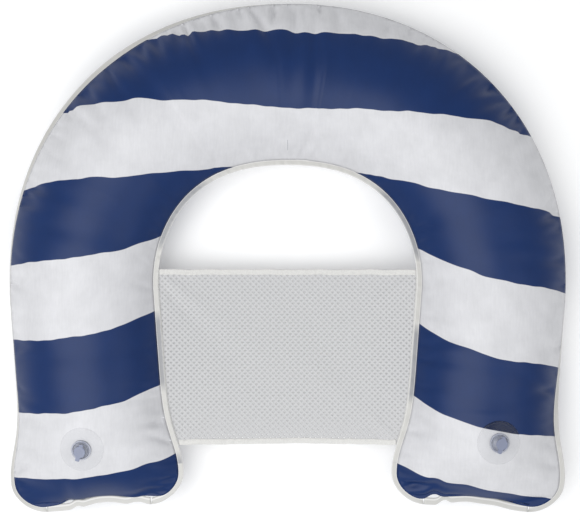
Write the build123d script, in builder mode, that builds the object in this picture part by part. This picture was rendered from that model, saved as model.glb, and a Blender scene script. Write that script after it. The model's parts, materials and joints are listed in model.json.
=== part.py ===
from build123d import *
import os
from math import cos, exp, radians, sin, sqrt

# A U-shaped inflatable pool float with a mesh seat sling, lying flat.
# Millimetres and degrees. +X is the user's right, +Y runs towards the arch,
# +Z is up. The origin is under the middle of the float, on the floor.

os.makedirs("parts", exist_ok=True)

# Plan of the float, measured over the weld flange
half_width = 446.0
arch_centre_y = -39.0
squareness = 2.15  # 2 would make the arch's outer edge a true circle
waist_radius = 207.0
crown_growth = 20.0  # the band is this much wider at the crown than at the waist
leg_lean = 4.2
leg_length = 339.0
leg_swell = 38.0  # the toes are this much wider than the legs
swell_centre = 55.0
swell_spread = 65.0
toe_corner_radius = 46.0

# Inflated section
rise = 64.0  # the cover stands this high above the flange
flange_width = 8.0  # the part that shows beyond the cover
weld_width = 11.5  # the whole welded band
film = 1.0
fabric = 1.0
layer_gap = 0.3
edge_slope = 1.2  # a wall's width where it meets the flange, over its thickness
toe_run = 111.5  # the toe reaches full height this far from its seam
seam_height = film + rise
toe_steps = (0.5, 3.0, 8.0, 16.0, 28.0, 45.0, 66.0, 88.0)
leg_steps = (112.0, 128.0, 160.0, 200.0, 245.0, 290.0)
arch_step = 10

# Valves, one on each leg
sides = {"left": -1, "right": 1}
valve_toe_distance = {"left": 103.0, "right": 114.5}
valve_offset = {"left": 11.8, "right": 20.0}  # outboard of the leg's centre line
valve_hinge_azimuth = 74.0
patch_radius = 34.5
patch = 1.0
stem_radius = 6.5
stem_top = 13.0
stem_bottom = -5.0
rim_radius = 7.6
rim_height = 2.0
socket_radius = 4.8
socket_depth = 6.0
nozzle_radius = 4.0
port_radius = 8.0
ring_inner_radius = 13.0
ring_outer_radius = 15.5
ring_height = 1.6
cap_radius = 9.0
cap_thickness = 1.4
cap_gap = 0.2
plug_length = 5.0
plug_root_radius = 4.3
plug_tip_radius = 3.4
hinge_reach = 12.3
hinge_drop = 0.1  # the hinge line lies this far under the stem's top
hinge_width = 6.0
ear_thickness = 1.5
tab_length = 6.0
tab_width = 7.0
flap_radius = 5.6
flap_thickness = 0.8

# Mesh seat sling
sling_top_y = -20.0
sling_bottom_y = -299.0
sling_sag = 18.0
mesh = 1.0
mesh_edge = 4.0  # the mesh reaches this far under the flange
tape_width = 6.0
tape = 1.2
hem_depth = 9.0
hem_wall = 0.8
hem_slot = 1.8
divider = 1.2


def outer_radius(angle):
    """Arch centre to the outer edge: a circle squared off a little between its axes."""
    across = abs(cos(angle)) ** squareness + abs(sin(angle)) ** squareness
    return half_width / across ** (1 / squareness)


def inner_radius(angle):
    """Arch centre to the inner edge: a circle, drawn in towards the crown."""
    return waist_radius - crown_growth * max(sin(angle), 0) ** 5


lean = radians(leg_lean)
leg_direction = Vector(sin(lean), cos(lean), 0)
leg_width = outer_radius(-lean) - inner_radius(-lean)
leg_start_radius = (outer_radius(-lean) + inner_radius(-lean)) / 2
leg_start = Vector(leg_start_radius * cos(lean), arch_centre_y - leg_start_radius * sin(lean))
toe_centre = leg_start - leg_direction * leg_length


def half_outline(inset, toe_distance):
    """Half the leg's width at a distance from the toe, for an outline drawn in by inset."""
    swell = exp(-(((toe_distance - swell_centre) / swell_spread) ** 2))
    corner = toe_corner_radius - inset
    short = max(corner - (toe_distance - inset), 0)
    return (leg_width + leg_swell * swell) / 2 - inset - corner + sqrt(corner**2 - short**2)


def toe_height(inset, height, toe_distance):
    """Height of the section's middle: an arc that climbs from the toe's seam."""
    run = toe_run - (inset - flange_width)
    arc_radius = (run**2 + height**2) / (2 * height)
    short = max(run - (toe_distance - inset), 0)
    return height - arc_radius + sqrt(arc_radius**2 - short**2)


def stations(inset, height):
    """Planes across the float, from the right toe to the left, for an outline drawn in by inset.

    Each has the plane's point and direction, half the section's width and its height.
    """
    right = []
    for distance in [inset + step for step in toe_steps] + list(leg_steps):
        point = toe_centre + leg_direction * distance
        tall = toe_height(inset, height, distance)
        right.append((point, leg_direction, half_outline(inset, distance), tall))
    right.append((leg_start, leg_direction, leg_width / 2 - inset, height))
    for degrees in range(arch_step, 90, arch_step):
        angle = radians(degrees)
        middle = (outer_radius(angle) + inner_radius(angle)) / 2
        half = (outer_radius(angle) - inner_radius(angle)) / 2 - inset
        point = Vector(middle * cos(angle), arch_centre_y + middle * sin(angle))
        right.append((point, Vector(-sin(angle), cos(angle), 0), half, height))
    crown_out, crown_in = outer_radius(radians(90)), inner_radius(radians(90))
    crown_point = Vector(0, arch_centre_y + (crown_out + crown_in) / 2)
    crown = [(crown_point, Vector(-1, 0, 0), (crown_out - crown_in) / 2 - inset, height)]
    left = [
        (Vector(-point.X, point.Y), Vector(way.X, -way.Y, 0), half, tall)
        for point, way, half, tall in reversed(right)
    ]
    return right + crown + left


def across(point, way, height):
    """The plane across the float at a station: local x across it, local y up."""
    return Plane((point.X, point.Y, height), x_dir=(-way.Y, way.X, 0), z_dir=way)


def half_lens(inset, height, base):
    """The inflated band above a plane: a low arc over a chord, carried from toe to toe."""
    with BuildPart() as band:
        for point, way, half, tall in stations(inset, height):
            with BuildSketch(across(point, way, base)):
                with BuildLine():
                    ThreePointArc((-half, 0), (0, tall), (half, 0))
                    Line((half, 0), (-half, 0))
                make_face()
        loft()
    return band.part


def flat_band(inset, thickness, base):
    """A flat plate of the float's outline drawn in by inset."""
    rows = [
        (point, Vector(-way.Y, way.X) * half) for point, way, half, _ in stations(inset, rise)
    ]
    outside = [tuple(point - inward)[:2] for point, inward in rows]
    inside = [tuple(point + inward)[:2] for point, inward in reversed(rows)]
    with BuildPart() as plate:
        with BuildSketch(Plane.XY.offset(base)):
            with BuildLine():
                Spline(*outside)
                Line(outside[-1], inside[0])
                Spline(*inside)
                Line(inside[-1], outside[0])
            make_face()
        extrude(amount=thickness)
    return plate.part


def cover_point(toe_distance, offset):
    """A point of the right leg's upper cover, by distance from the toe and from the middle."""
    half = half_outline(flange_width, toe_distance)
    tall = toe_height(flange_width, rise, toe_distance)
    arc_radius = (half**2 + tall**2) / (2 * tall)
    height = seam_height + film + tall - arc_radius + sqrt(arc_radius**2 - offset**2)
    outward = Vector(leg_direction.Y, -leg_direction.X, 0)
    place = toe_centre + leg_direction * toe_distance + outward * offset
    return Vector(place.X, place.Y, height)


def valve_plane(name):
    """The cover's tangent plane at a valve, its local x towards the cap's hinge."""
    side, distance, offset = sides[name], valve_toe_distance[name], valve_offset[name]
    point = cover_point(distance, offset)
    along = cover_point(distance + 1, offset) - point
    outward = cover_point(distance, offset + 1) - point
    normal = outward.cross(along).normalized()
    azimuth = radians(valve_hinge_azimuth)
    hinge = Vector(cos(azimuth), sin(azimuth), 0)
    origin = Vector(side * point.X, point.Y, point.Z)
    normal = Vector(side * normal.X, normal.Y, normal.Z)
    hinge = (hinge - normal * hinge.dot(normal)).normalized()
    return Plane(origin, x_dir=hinge, z_dir=normal)


valves = {name: valve_plane(name) for name in sides}
seam = Plane.XY.offset(seam_height)
cover_base = seam_height + film

cover_outer = half_lens(flange_width, rise, cover_base)
cover_inner = half_lens(flange_width + edge_slope * fabric, rise - fabric, cover_base)
film_inset = flange_width + edge_slope * (fabric + layer_gap)
film_rise = rise - fabric - layer_gap
film_outer = half_lens(film_inset, film_rise, cover_base)
film_inner = half_lens(film_inset + edge_slope * film, film_rise - film, cover_base)
patch_inner = half_lens(flange_width - layer_gap, rise + layer_gap, cover_base)
patch_outer = half_lens(flange_width - layer_gap - patch, rise + layer_gap + patch, cover_base)

# Striped fabric, one sheet above the seam and one below it
with BuildPart() as top_cover:
    add(cover_outer)
    add(cover_inner, mode=Mode.SUBTRACT)
    for place in valves.values():
        with BuildSketch(place.offset(-rise / 2)):
            Circle(port_radius)
        extrude(amount=rise, mode=Mode.SUBTRACT)
top_cover.part.label = "top_cover"
export_step(top_cover.part, "parts/top_cover.step")

with BuildPart() as bottom_cover:
    add(cover_outer.mirror(seam))
    add(cover_inner.mirror(seam), mode=Mode.SUBTRACT)
bottom_cover.part.label = "bottom_cover"
export_step(bottom_cover.part, "parts/bottom_cover.step")

# Clear vinyl film that holds the air, under each sheet of fabric
with BuildPart() as top_film:
    add(film_outer)
    add(film_inner, mode=Mode.SUBTRACT)
    for place in valves.values():
        with BuildSketch(place.offset(-rise / 2)):
            Circle(port_radius)
        extrude(amount=rise, mode=Mode.SUBTRACT)
top_film.part.label = "top_film"
export_step(top_film.part, "parts/top_film.step")

with BuildPart() as bottom_film:
    add(film_outer.mirror(seam))
    add(film_inner.mirror(seam), mode=Mode.SUBTRACT)
bottom_film.part.label = "bottom_film"
export_step(bottom_film.part, "parts/bottom_film.step")

# Flat band all round the edge where the sheets and films are welded into one
with BuildPart() as weld_flange:
    add(flat_band(0, 2 * film, seam_height - film))
    add(flat_band(weld_width, 2 * film, seam_height - film), mode=Mode.SUBTRACT)
weld_flange.part.label = "weld_flange"
export_step(weld_flange.part, "parts/weld_flange.step")

# Welded wall across the crown that parts the float into two air chambers
divider_inset = film_inset + edge_slope * (film + layer_gap)
divider_stations = stations(divider_inset, film_rise - film - layer_gap)
crown_point, crown_way, crown_half, crown_height = divider_stations[len(divider_stations) // 2]
with BuildPart() as chamber_divider:
    for base, way in ((cover_base, 1), (2 * seam_height - cover_base, -1)):
        with BuildSketch(across(crown_point, crown_way, base).offset(-divider / 2)):
            with BuildLine():
                ThreePointArc((-crown_half, 0), (0, way * crown_height), (crown_half, 0))
                Line((crown_half, 0), (-crown_half, 0))
            make_face()
        extrude(amount=divider)
    with BuildSketch(across(crown_point, crown_way, seam_height).offset(-divider / 2)):
        Rectangle(2 * (crown_half - film), 2 * film)
    extrude(amount=divider)
chamber_divider.part.label = "chamber_divider"
export_step(chamber_divider.part, "parts/chamber_divider.step")


def valve_patch(place):
    """Clear disc welded over the cover round the valve, bent to the cover's shape."""
    with BuildPart() as disc:
        with BuildSketch(place.offset(-rise / 4)):
            Circle(patch_radius)
            Circle(port_radius, mode=Mode.SUBTRACT)
        extrude(amount=rise / 2)
        add(patch_outer, mode=Mode.INTERSECT)
        add(patch_inner, mode=Mode.SUBTRACT)
    return disc.part


def valve_ring(place):
    """Raised ring on the patch that the valve's cap drops into when it is pressed home."""
    with BuildPart() as ring:
        with BuildSketch(place.offset(-ring_height)):
            Circle(ring_outer_radius)
            Circle(ring_inner_radius, mode=Mode.SUBTRACT)
        extrude(amount=2 * ring_height + layer_gap + patch)
        add(patch_outer, mode=Mode.SUBTRACT)
        fillet(ring.faces().sort_by(Axis(place.origin, place.z_dir))[-1].edges(), 0.5)
    return ring.part


def valve_stem(place):
    """Soft tube with a rimmed mouth, a socket for the plug, a nozzle seat and the hinge's ear."""
    hinge_level = stem_top - hinge_drop
    with BuildPart() as stem:
        with BuildSketch(place.offset(stem_bottom)):
            Circle(stem_radius)
        extrude(amount=stem_top - stem_bottom)
        with BuildSketch(place.offset(stem_top - rim_height)):
            Circle(rim_radius)
        extrude(amount=rim_height)
        with BuildSketch(place.offset(hinge_level - layer_gap - ear_thickness)):
            with Locations((hinge_reach / 2, 0)):
                Rectangle(hinge_reach - 2 * layer_gap, hinge_width)
        extrude(amount=ear_thickness)
        with BuildSketch(place.offset(stem_bottom)):
            Circle(nozzle_radius)
        extrude(amount=stem_top - stem_bottom, mode=Mode.SUBTRACT)
        with BuildSketch(place.offset(stem_top - socket_depth)):
            Circle(socket_radius)
        extrude(amount=socket_depth, mode=Mode.SUBTRACT)
    return stem.part


def valve_cap(place):
    """Cap with a tapered plug, a strap out to the hinge and a pull tab opposite it."""
    with BuildPart() as cap:
        with BuildSketch(place.offset(stem_top + cap_gap)):
            Circle(cap_radius)
        extrude(amount=cap_thickness)
        fillet(cap.faces().sort_by(Axis(place.origin, place.z_dir))[-1].edges(), 0.4)
        with BuildSketch(place.offset(stem_top + cap_gap)):
            with Locations((hinge_reach / 2, 0)):
                Rectangle(hinge_reach - 2 * layer_gap, hinge_width)
            with Locations((-cap_radius - tab_length / 2 + 1, 0)):
                RectangleRounded(tab_length + 2, tab_width, 2)
        extrude(amount=cap_thickness - 0.4)
        with BuildSketch(place.offset(stem_top + cap_gap)):
            Circle(plug_root_radius)
        with BuildSketch(place.offset(stem_top + cap_gap - plug_length)):
            Circle(plug_tip_radius)
        loft()
    return cap.part


def valve_flap(place):
    """Thin round flap under the stem that lets air in and closes against the pressure."""
    with BuildPart() as flap:
        with BuildSketch(place.offset(stem_bottom - cap_gap - flap_thickness)):
            Circle(flap_radius)
        extrude(amount=flap_thickness)
    return flap.part


valve_pieces = {
    "valve_patch": valve_patch,
    "valve_ring": valve_ring,
    "valve_stem": valve_stem,
    "valve_cap": valve_cap,
    "valve_flap": valve_flap,
}
for side, place in valves.items():
    for piece, make_piece in valve_pieces.items():
        solid = make_piece(place)
        solid.label = f"{side}_{piece}"
        export_step(solid, f"parts/{solid.label}.step")


def half_gap(y):
    """Half the gap between the legs' flanges at a distance along Y."""
    if y > leg_start.Y:
        return sqrt(waist_radius**2 - (y - arch_centre_y) ** 2)
    distance = (y - toe_centre.Y) / cos(lean)
    for _ in range(3):
        half = half_outline(0, distance)
        distance = (y - toe_centre.Y - sin(lean) * half) / cos(lean)
    return toe_centre.X + sin(lean) * distance - cos(lean) * half


tape_top = seam_height - film
mesh_top = tape_top - tape - 0.2


def sling_arc(half, top, bottom):
    """A hanging strip's cross-section: two arcs that sag alike, this far from its edge level."""
    sag = sling_sag * half / waist_radius
    with BuildLine() as outline:
        ThreePointArc((-half, bottom), (0, bottom - sag), (half, bottom))
        Line((half, bottom), (half, top))
        ThreePointArc((half, top), (0, top - sag), (-half, top))
        Line((-half, top), (-half, bottom))
    return outline


def sling_plane(y):
    """The upright plane across the sling: local x is X and local y is Z."""
    return Plane((0, y, 0), x_dir=(1, 0, 0), z_dir=(0, -1, 0))


sling_length = sling_top_y - sling_bottom_y
sling_rows = [sling_top_y - sling_length * step for step in (0, 0.2, 0.4, 0.6, 0.8, 1)]

# Mesh seat that hangs between the legs from the underside of the flange
with BuildPart() as sling_mesh:
    for y in sling_rows:
        with BuildSketch(sling_plane(y)):
            add(sling_arc(half_gap(y) + mesh_edge, mesh_top, mesh_top - mesh).line)
            make_face()
    loft()
sling_mesh.part.label = "sling_mesh"
export_step(sling_mesh.part, "parts/sling_mesh.step")

# Tape between the mesh and the flange, along each leg
for side, sign in sides.items():
    with BuildPart() as sling_tape:
        for y in sling_rows:
            with BuildSketch(sling_plane(y)):
                with Locations((sign * (half_gap(y) + flange_width / 2), tape_top - tape / 2)):
                    Rectangle(tape_width, tape)
        loft()
    sling_tape.part.label = f"{side}_sling_tape"
    export_step(sling_tape.part, f"parts/{side}_sling_tape.step")

# Folded binding over the mesh's free edges, above and below it
hem_lip = (hem_slot - mesh) / 2
for end, (edge, way) in {"top": (sling_top_y, 1), "bottom": (sling_bottom_y, -1)}.items():
    lip_y = edge + way * (hem_lip + hem_wall)
    hem_rows = [lip_y, lip_y - way * hem_depth]
    slot_rows = [edge + way * hem_lip, edge - way * 2 * hem_depth]
    hem_half = min(half_gap(y) for y in hem_rows) - layer_gap
    with BuildPart() as sling_hem:
        for rows, wall, mode in ((hem_rows, hem_wall, Mode.ADD), (slot_rows, 0, Mode.SUBTRACT)):
            with BuildPart(mode=Mode.PRIVATE) as strip:
                for y in rows:
                    with BuildSketch(sling_plane(y)):
                        low = mesh_top - mesh - hem_lip - wall
                        high = mesh_top + hem_lip + wall
                        add(sling_arc(half_gap(y) + mesh_edge, high, low).line)
                        make_face()
                loft(ruled=True)
            add(strip.part, mode=mode)
        with BuildSketch(Plane.XY):
            with Locations((0, edge)):
                Rectangle(2 * hem_half, 4 * hem_depth)
        extrude(amount=seam_height, mode=Mode.INTERSECT)
    sling_hem.part.label = f"sling_{end}_hem"
    export_step(sling_hem.part, f"parts/sling_{end}_hem.step")
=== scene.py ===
import json
import math

import bmesh
import bpy
import numpy as np
from bpy.props import FloatProperty, FloatVectorProperty, IntProperty, PointerProperty
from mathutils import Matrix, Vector


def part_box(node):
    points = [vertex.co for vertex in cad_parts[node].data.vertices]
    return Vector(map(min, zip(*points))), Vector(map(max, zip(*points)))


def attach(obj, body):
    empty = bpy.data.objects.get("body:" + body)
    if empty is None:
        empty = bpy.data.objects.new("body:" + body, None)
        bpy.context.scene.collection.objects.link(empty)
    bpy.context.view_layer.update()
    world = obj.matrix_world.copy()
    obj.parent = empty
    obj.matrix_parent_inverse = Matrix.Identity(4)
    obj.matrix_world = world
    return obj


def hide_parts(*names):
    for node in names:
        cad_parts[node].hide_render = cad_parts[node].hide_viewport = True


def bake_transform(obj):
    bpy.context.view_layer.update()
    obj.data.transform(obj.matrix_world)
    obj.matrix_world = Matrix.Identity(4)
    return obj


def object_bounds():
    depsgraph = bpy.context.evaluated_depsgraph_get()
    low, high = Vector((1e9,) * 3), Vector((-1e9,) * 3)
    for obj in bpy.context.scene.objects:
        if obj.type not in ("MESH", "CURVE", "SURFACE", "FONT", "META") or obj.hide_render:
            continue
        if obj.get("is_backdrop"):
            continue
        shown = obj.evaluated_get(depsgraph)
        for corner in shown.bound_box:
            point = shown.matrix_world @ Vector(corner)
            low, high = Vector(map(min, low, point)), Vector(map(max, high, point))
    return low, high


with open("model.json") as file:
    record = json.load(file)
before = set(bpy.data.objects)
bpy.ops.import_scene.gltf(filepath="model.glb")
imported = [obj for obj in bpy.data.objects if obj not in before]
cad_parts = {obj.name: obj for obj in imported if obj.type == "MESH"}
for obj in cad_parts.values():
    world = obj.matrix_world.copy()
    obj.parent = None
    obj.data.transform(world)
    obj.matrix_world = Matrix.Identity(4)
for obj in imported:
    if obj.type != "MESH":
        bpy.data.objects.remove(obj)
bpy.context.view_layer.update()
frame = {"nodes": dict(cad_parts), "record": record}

bl_info = {
    "name": "Inflatable pool float",
    "version": (1, 0, 0),
    "blender": (4, 5, 0),
    "location": "3D View > Sidebar > Pool float",
    "description": "Dresses the frame of a striped inflatable pool float with a mesh sling",
    "category": "Add Mesh",
}

MM = 0.001
SIDES = {"left": -1, "right": 1}

FLANGE_LOW, FLANGE_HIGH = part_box("weld_flange")
SEAM_LEVEL = (FLANGE_LOW.z + FLANGE_HIGH.z) / 2
COVER_BASE = FLANGE_HIGH.z
COVER_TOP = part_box("top_cover")[1].z
SLING_LOW, SLING_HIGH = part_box("sling_mesh")
JOINTS = {joint["name"]: joint for joint in frame["record"]["behaviour"]["joints"]}
BORES = {mount["name"]: mount for mount in frame["record"]["mounts"]}


def linear(hex_colour):
    """An sRGB hex colour as linear red, green, blue and alpha: each channel below 0.04045
    is divided by 12.92, and above it (c + 0.055) / 1.055 is raised to the power 2.4."""
    channels = [int(hex_colour[i : i + 2], 16) / 255 for i in (1, 3, 5)]
    return tuple(
        c / 12.92 if c <= 0.04045 else ((c + 0.055) / 1.055) ** 2.4 for c in channels
    ) + (1.0,)


# ---------------------------------------------------------------- settings


def length(name, description, default):
    """A property that holds a length in metres."""
    return FloatProperty(name=name, description=description, default=default, unit="LENGTH")


class FloatShape(bpy.types.PropertyGroup):
    half_width: length("Half width", "Half the float's width over the weld flange", FLANGE_HIGH.x)
    arch_centre: length("Arch centre", "Centre of the arch along Y", -39 * MM)
    squareness: FloatProperty(
        name="Squareness",
        description="Power of the arch's outer edge, where 2 is a true circle",
        default=2.15,
    )
    waist_radius: length("Waist radius", "Radius of the arch's inner edge at the waist", 207 * MM)
    crown_growth: length(
        "Crown growth", "How far the inner edge is drawn in at the crown", 20 * MM
    )
    leg_lean: FloatProperty(
        name="Leg lean",
        description="Angle by which each leg leans in",
        default=math.radians(4.2),
        subtype="ANGLE",
    )
    leg_length: length(
        "Leg length", "Straight length of a leg from the waist to the toe", 339 * MM
    )
    toe_swell: length("Toe swell", "How much wider the toe is than the leg", 38 * MM)
    swell_centre: length(
        "Swell centre", "Distance of the widest place from the toe's end", 55 * MM
    )
    swell_spread: length("Swell spread", "How far along the leg the swell reaches", 65 * MM)
    toe_corner: length("Toe corner", "Radius of the toe's corners", 46 * MM)
    toe_run: length("Toe run", "Distance from the toe's seam to full height", 111.5 * MM)
    flange_width: length("Flange width", "Width of the welded band beyond the fabric", 8 * MM)
    weld_width: length(
        "Weld width", "Whole width of the welded band, its covered part included", 11.5 * MM
    )
    grid_pitch: length("Grid pitch", "Spacing of the fabric's grid", 3.8 * MM)


class StripedFabric(bpy.types.PropertyGroup):
    navy: FloatVectorProperty(
        name="Navy",
        description="Colour of the dark stripes",
        default=linear("#0a2a5c")[:3],
        subtype="COLOR",
        size=3,
    )
    white: FloatVectorProperty(
        name="White",
        description="Colour of the light stripes",
        default=linear("#d3d3d6")[:3],
        subtype="COLOR",
        size=3,
    )
    stripe_width: length("Stripe width", "Width of each printed stripe", 120 * MM)
    stripe_start: length("Stripe start", "Where a navy stripe begins on the flat cloth", -6 * MM)
    pucker_pitch: length("Pucker pitch", "Mean spacing of the puckers along the seam", 13 * MM)
    pucker_depth: length("Pucker depth", "Depth of a usual pucker", 3.0 * MM)
    seed: IntProperty(
        name="Seed", description="Seed of the puckers' places and depths", default=11
    )


class SlingSettings(bpy.types.PropertyGroup):
    hole_pitch: length("Hole pitch", "Spacing of the mesh's holes along a row", 9.1 * MM)
    row_pitch: length(
        "Row pitch", "Spacing of the rows, each half a hole aside of the last", 4.5 * MM
    )
    hole_radius: length("Hole radius", "Half a hole's width", 1.05 * MM)
    thickness: length("Mesh thickness", "Thickness of the knitted mesh", 0.8 * MM)
    sag: length("Sag", "How far the sling's middle hangs under its edges at the waist", 18 * MM)


class StageSettings(bpy.types.PropertyGroup):
    view_width: length("View width", "Width of the view at the seam's level", 928 * MM)
    lens: FloatProperty(
        name="Lens", description="Focal length of the camera in millimetres", default=85.0
    )
    ambient: FloatProperty(
        name="Ambient light", description="Strength of the soft light all round", default=0.49
    )
    key: FloatProperty(
        name="Key light", description="Power of the soft light in watts", default=44.0
    )


# ------------------------------------------------------------ mesh helpers


def make_mesh(name, points, faces, uv=None):
    """A mesh object from an array of points, an array of faces and a UV pair for each point."""
    mesh = bpy.data.meshes.new(name)
    faces = faces if isinstance(faces, list) else faces.tolist()
    mesh.from_pydata(points.tolist(), [], faces)
    mesh.update()
    if uv is not None:
        layer = mesh.uv_layers.new(name="cloth")
        corners = np.empty(len(mesh.loops), np.int32)
        mesh.loops.foreach_get("vertex_index", corners)
        layer.data.foreach_set("uv", np.asarray(uv, np.float32)[corners].ravel())
    mesh.polygons.foreach_set("use_smooth", np.ones(len(mesh.polygons), bool))
    item = bpy.data.objects.new(name, mesh)
    bpy.context.collection.objects.link(item)
    return item


def finish_piece(item, material, body, replaced=()):
    """Gives a piece its material, its body and the nodes that it stands for."""
    item.data.materials.append(material)
    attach(item, body)
    if replaced:
        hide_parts(*replaced)
    return item


def grid_faces(rows, columns, wrap=False):
    """Quads of a grid of points numbered row by row: each face joins a point with the next
    in its row and the two beside them in the next row. wrap joins the last column to the first."""
    i, j = np.meshgrid(
        np.arange(rows - 1), np.arange(columns if wrap else columns - 1), indexing="ij"
    )
    k = (j + 1) % columns
    quads = [i * columns + j, i * columns + k, (i + 1) * columns + k, (i + 1) * columns + j]
    return np.stack(quads, -1).reshape(-1, 4)


def rim_edges(faces):
    """Directed edges that only one face has, as two columns of point numbers."""
    sides = np.stack([faces, np.roll(faces, -1, axis=1)], -1).reshape(-1, 2)
    base = faces.max() + 1
    here, there = sides[:, 0] * base + sides[:, 1], sides[:, 1] * base + sides[:, 0]
    return sides[~np.isin(here, there)]


def closed_sheet(points, normals, faces, uv, thickness):
    """Closes an open sheet into a thin solid: the same sheet is set back along its normals,
    turned over, and joined to the first by a quad along each free edge."""
    count = len(points)
    edges = rim_edges(faces)
    rim = np.stack([edges[:, 1], edges[:, 0], edges[:, 0] + count, edges[:, 1] + count], -1)
    all_points = np.concatenate([points, points - normals * thickness])
    all_faces = np.concatenate([faces, faces[:, ::-1] + count, rim])
    return all_points, all_faces, np.concatenate([uv, uv])


def unit(vectors):
    """Each vector divided by its length."""
    return vectors / np.maximum(np.linalg.norm(vectors, axis=-1, keepdims=True), 1e-12)


def grid_normals(points):
    """Unit normals of a grid of points: the cross product of its slopes both ways."""
    return unit(np.cross(np.gradient(points, axis=0), np.gradient(points, axis=1)))


def facing(points, faces, up):
    """The faces, turned round if the sum of their normals looks away from the direction up."""
    a, b, c = (points[faces[:, k]] for k in range(3))
    total = np.cross(b - a, c - a).sum(0) @ np.asarray(up)
    return faces if total > 0 else faces[:, ::-1]


def smooth(values, passes):
    """Values along a line, each averaged with its two neighbours this many times."""
    for _ in range(passes):
        padded = np.pad(values, 1, mode="edge")
        values = (padded[:-2] + 2 * padded[1:-1] + padded[2:]) / 4
    return values


def tube(path, radius, around):
    """An open tube along a path: at each point a ring of radius times (cos, sin) in the
    plane across the path."""
    way = unit(np.gradient(path, axis=0))
    side = unit(np.cross(way, (0.0, 0.0, 1.0)))
    over = np.cross(side, way)
    turn = np.linspace(0, 2 * np.pi, around, endpoint=False)
    ring = side[:, None] * np.cos(turn)[:, None] + over[:, None] * np.sin(turn)[:, None]
    reach = np.broadcast_to(np.asarray(radius, float), (len(path),))
    points = (path[:, None] + ring * reach[:, None, None]).reshape(-1, 3)
    faces = grid_faces(len(path), around, wrap=True)
    return points, faces


def capped(points, faces, around):
    """Closes both ends of a wrapped grid with a point at the middle of each end ring."""
    count = len(points)
    first, last = points[:around].mean(0), points[-around:].mean(0)
    a = np.arange(around)
    b = (a + 1) % around
    start = np.stack([np.full(around, count), b, a], -1)
    end = np.stack([np.full(around, count + 1), a + count - around, b + count - around], -1)
    return np.concatenate([points, [first, last]]), faces.tolist() + start.tolist() + end.tolist()


# ------------------------------------------------------------- float shape


def ring_radii(shape, angle):
    """Radii of the flange's outer and inner edges about the arch's centre. Outer: the half
    width over the n-th root of |cos|^n + |sin|^n. Inner: the waist's radius less the crown's
    growth times the fifth power of the sine."""
    power = shape.squareness
    across = np.abs(np.cos(angle)) ** power + np.abs(np.sin(angle)) ** power
    outer = shape.half_width / across ** (1 / power)
    return outer, shape.waist_radius - shape.crown_growth * np.maximum(np.sin(angle), 0) ** 5


def leg_half_width(shape, leg_width, distance, inset):
    """Half the leg's width at a distance from the toe's end: half the plain width, a bell of
    swell round the widest place, and a quarter circle at the toe's corner, all drawn in by
    inset."""
    swell = np.exp(-(((distance - shape.swell_centre) / shape.swell_spread) ** 2))
    corner = shape.toe_corner - inset
    short = np.clip(corner - (distance - inset), 0, corner)
    return (leg_width + shape.toe_swell * swell) / 2 - inset - corner + np.sqrt(
        np.maximum(corner**2 - short**2, 0)
    )


def centre_rows(shape, start, pitch):
    """Rows across the float from the right toe, round the crown, to the left toe.

    A leg's rows stand on a straight line from the toe, close together where the toe climbs.
    The arch's rows turn about its centre. Each row has the middle point, the unit vector
    inwards, the half width of the flange, the angle about the arch's centre and the distance
    from the toe (both clipped)."""
    lean = shape.leg_lean
    outer, inner = ring_radii(shape, np.array(-lean))
    leg_width, middle = float(outer - inner), float(outer + inner) / 2
    way = np.array([math.sin(lean), math.cos(lean)])
    top = np.array([middle * math.cos(lean), shape.arch_centre - middle * math.sin(lean)])
    toe = top - way * shape.leg_length
    steps = np.cumsum(np.concatenate([[0], pitch * (1 - np.exp(-np.arange(1, 400) / 9.0))]))
    steps = steps[steps < shape.leg_length - start - pitch / 2]
    distance = np.concatenate([start + steps, [shape.leg_length]])
    leg = {
        "middle": toe + way * distance[:, None],
        "inward": np.tile([-way[1], way[0]], (len(distance), 1)),
        "half": leg_half_width(shape, leg_width, distance, 0.0),
        "angle": np.full(len(distance), -lean),
        "distance": distance,
    }
    count = int(round((math.pi / 2 + lean) * (middle + 0.06) / pitch))
    angle = np.linspace(-lean, math.pi / 2, count + 1)[1:]
    outer, inner = ring_radii(shape, angle)
    spoke = np.stack([np.cos(angle), np.sin(angle)], -1)
    arch = {
        "middle": spoke * ((outer + inner) / 2)[:, None] + [0, shape.arch_centre],
        "inward": -spoke,
        "half": (outer - inner) / 2,
        "angle": angle,
        "distance": np.full(len(angle), shape.leg_length),
    }
    right = {key: np.concatenate([leg[key], arch[key]]) for key in leg}
    flip = np.array([-1.0, 1.0])
    rows = {}
    for key, values in right.items():
        mirrored = values[-2::-1]
        rows[key] = np.concatenate([values, mirrored * flip if values.ndim == 2 else mirrored])
    rows["leg_width"] = leg_width
    step = np.linalg.norm(np.diff(rows["middle"], axis=0), axis=1)
    rows["run"] = np.concatenate([[0], np.cumsum(step)])
    rows["share"] = rows["run"] / rows["run"][-1]
    return rows


# How much of the outer flange shows beyond the fabric, in millimetres, at shares of the way
# from the right toe round to the left toe. Elsewhere it has curled under the tube.
FLANGE_SHOWS = (
    (0.0, 0.09, 0.14, 0.19, 0.5, 0.555, 0.62, 0.70, 0.78, 0.88, 0.94, 1.0),
    (8.0, 8.0, 3.5, 1.2, 1.2, 5.0, 8.0, 6.5, 3.0, 2.4, 5.0, 8.0),
)


def outer_inset(rows):
    """How far the fabric's outer edge stands in from the flange's edge, in metres."""
    return smooth(np.interp(rows["share"], *FLANGE_SHOWS) * MM, 60)


def edge_half(shape, rows, inset):
    """Half width to one side at an inset from the flange's edge: rounded corners on the legs,
    a plain offset on the arch."""
    leg = rows["distance"] < shape.leg_length - 1e-9
    drawn = leg_half_width(shape, rows["leg_width"], rows["distance"], inset)
    return np.where(leg, drawn, rows["half"] - inset)


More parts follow.
